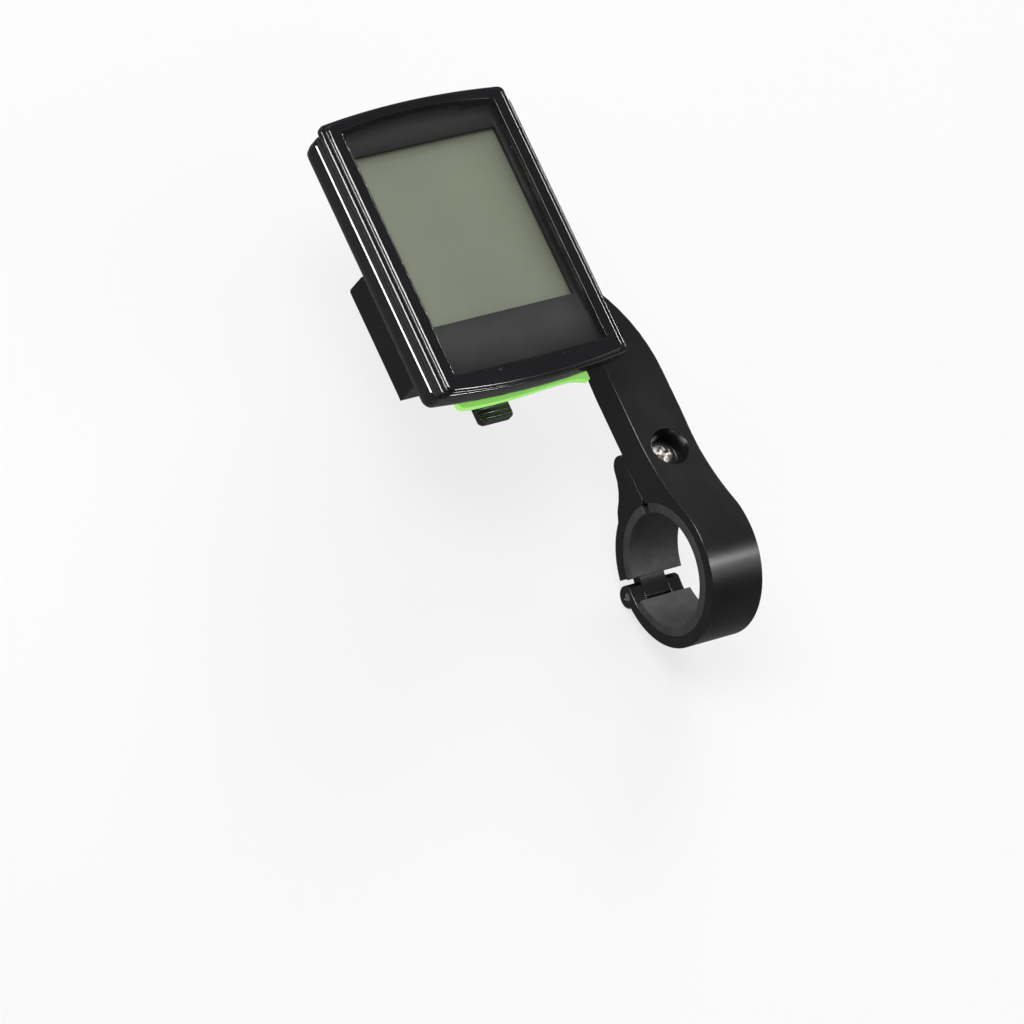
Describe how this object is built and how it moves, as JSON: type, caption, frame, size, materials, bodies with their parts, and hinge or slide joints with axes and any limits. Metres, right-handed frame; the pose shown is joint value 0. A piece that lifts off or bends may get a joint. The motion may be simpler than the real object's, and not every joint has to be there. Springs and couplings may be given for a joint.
{
  "type": "cycling computer",
  "caption": "Small handlebar cycling computer with a window display, slid on an out-front bracket that clamps to the handlebar.",
  "frame": {"origin": "centre of the handlebar clamp, half way across its width", "axes": "+X along the handlebar to the rider's right, +Y forward, +Z out of the display"},
  "size_m": [0.0669, 0.1267, 0.0476],
  "materials": {
    "anodised_black": "fine-blasted black anodised, satin",
    "cradle_green": "bright green moulding",
    "lever_black": "glossy black moulding",
    "casing_gloss": "polished black moulding",
    "casing_rear": "polished black moulding with lightly textured back",
    "liner_rubber": "matt rubber",
    "steel": "bright zinc or nickel plated",
    "spring_steel": "spring wire",
    "seal_rubber": "matt rubber",
    "window": "clear polished window",
    "mask_print": "charcoal print behind the window",
    "lcd": "grey-green reflective display",
    "lcd_white": "white moulding",
    "zebra": "striped conductive elastomer",
    "board": "green solder mask",
    "chips": "moulded epoxy",
    "switch_metal": "tinned cover",
    "ceramic": "ceramic",
    "contact": "plated spring bronze",
    "cell": "stainless can",
    "key_rubber": "dark grey hard key"
  },
  "bodies": {
    "bracket": {"bracket_arm": "anodised_black", "clamp_liner_rear": "liner_rubber", "jaw_hinge_pin": "steel", "cradle": "cradle_green", "cradle_screws": "steel", "lever_pin": "steel", "lever_spring": "spring_steel"},
    "jaw": {"clamp_jaw": "anodised_black", "clamp_liner_front": "liner_rubber"},
    "screw": {"clamp_screw": "steel"},
    "nut": {"clamp_nut": "steel"},
    "lever": {"release_lever": "lever_black"},
    "computer": {"rear_casing": "casing_rear", "front_casing": "casing_gloss", "case_gasket": "seal_rubber", "case_screws": "steel", "window_lens": "window", "window_mask": "mask_print", "lcd_frame": "lcd_white", "lcd_panel": "lcd", "lcd_reflector": "lcd_white", "zebra_strips": "zebra", "circuit_board": "board", "board_chips": "chips", "board_screws": "steel", "key_switches": "switch_metal", "buzzer": "chips", "antenna": "ceramic", "cell_contact_plus": "contact", "cell_contact_minus": "contact", "coin_cell": "cell"},
    "door": {"battery_door": "casing_rear", "door_seal": "seal_rubber"},
    "mode": {"mode_key": "key_rubber", "mode_key_seal": "seal_rubber"},
    "set": {"set_key": "key_rubber", "set_key_seal": "seal_rubber"}
  },
  "joints": [
    {"name": "screw_turn", "type": "hinge", "parent": "bracket", "child": "screw", "pos_m": [0, 0.0228, 0], "axis": [0, 0, 1], "range_deg": [0, 785]},
    {"name": "nut_travel", "type": "slide", "parent": "bracket", "child": "nut", "axis": [0, 0, 1], "range_m": [-0.0011, 0]},
    {"name": "jaw_open", "type": "hinge", "parent": "bracket", "child": "jaw", "pos_m": [0, 0.00149, -0.017], "axis": [1, 0, 0], "range_deg": [-2.86, 0]},
    {"name": "lever_press", "type": "hinge", "parent": "bracket", "child": "lever", "pos_m": [-0.034, 0.057, 0.0156], "axis": [1, 0, 0], "range_deg": [0, 6.8], "stiffness_Nm_per_rad": 0.2, "deforming": ["lever_spring"]},
    {"name": "computer_slide", "type": "slide", "parent": "bracket", "child": "computer", "axis": [0, 1, 0], "range_m": [0, 0.036]},
    {"name": "door_turn", "type": "hinge", "parent": "computer", "child": "door", "pos_m": [-0.034, 0.091, 0.016], "axis": [0, 0, -1], "range_deg": [0, 40]},
    {"name": "mode_press", "type": "slide", "parent": "computer", "child": "mode", "axis": [0, 0, 1], "range_m": [0, 0.0004]},
    {"name": "set_press", "type": "slide", "parent": "computer", "child": "set", "axis": [0, 0, 1], "range_m": [0, 0.0004]}
  ],
  "couplings": [
    {"joint": "screw_turn", "follows": "jaw_open", "ratio": -273.52},
    {"joint": "nut_travel", "follows": "jaw_open", "m_per_rad": 0.021766}
  ]
}
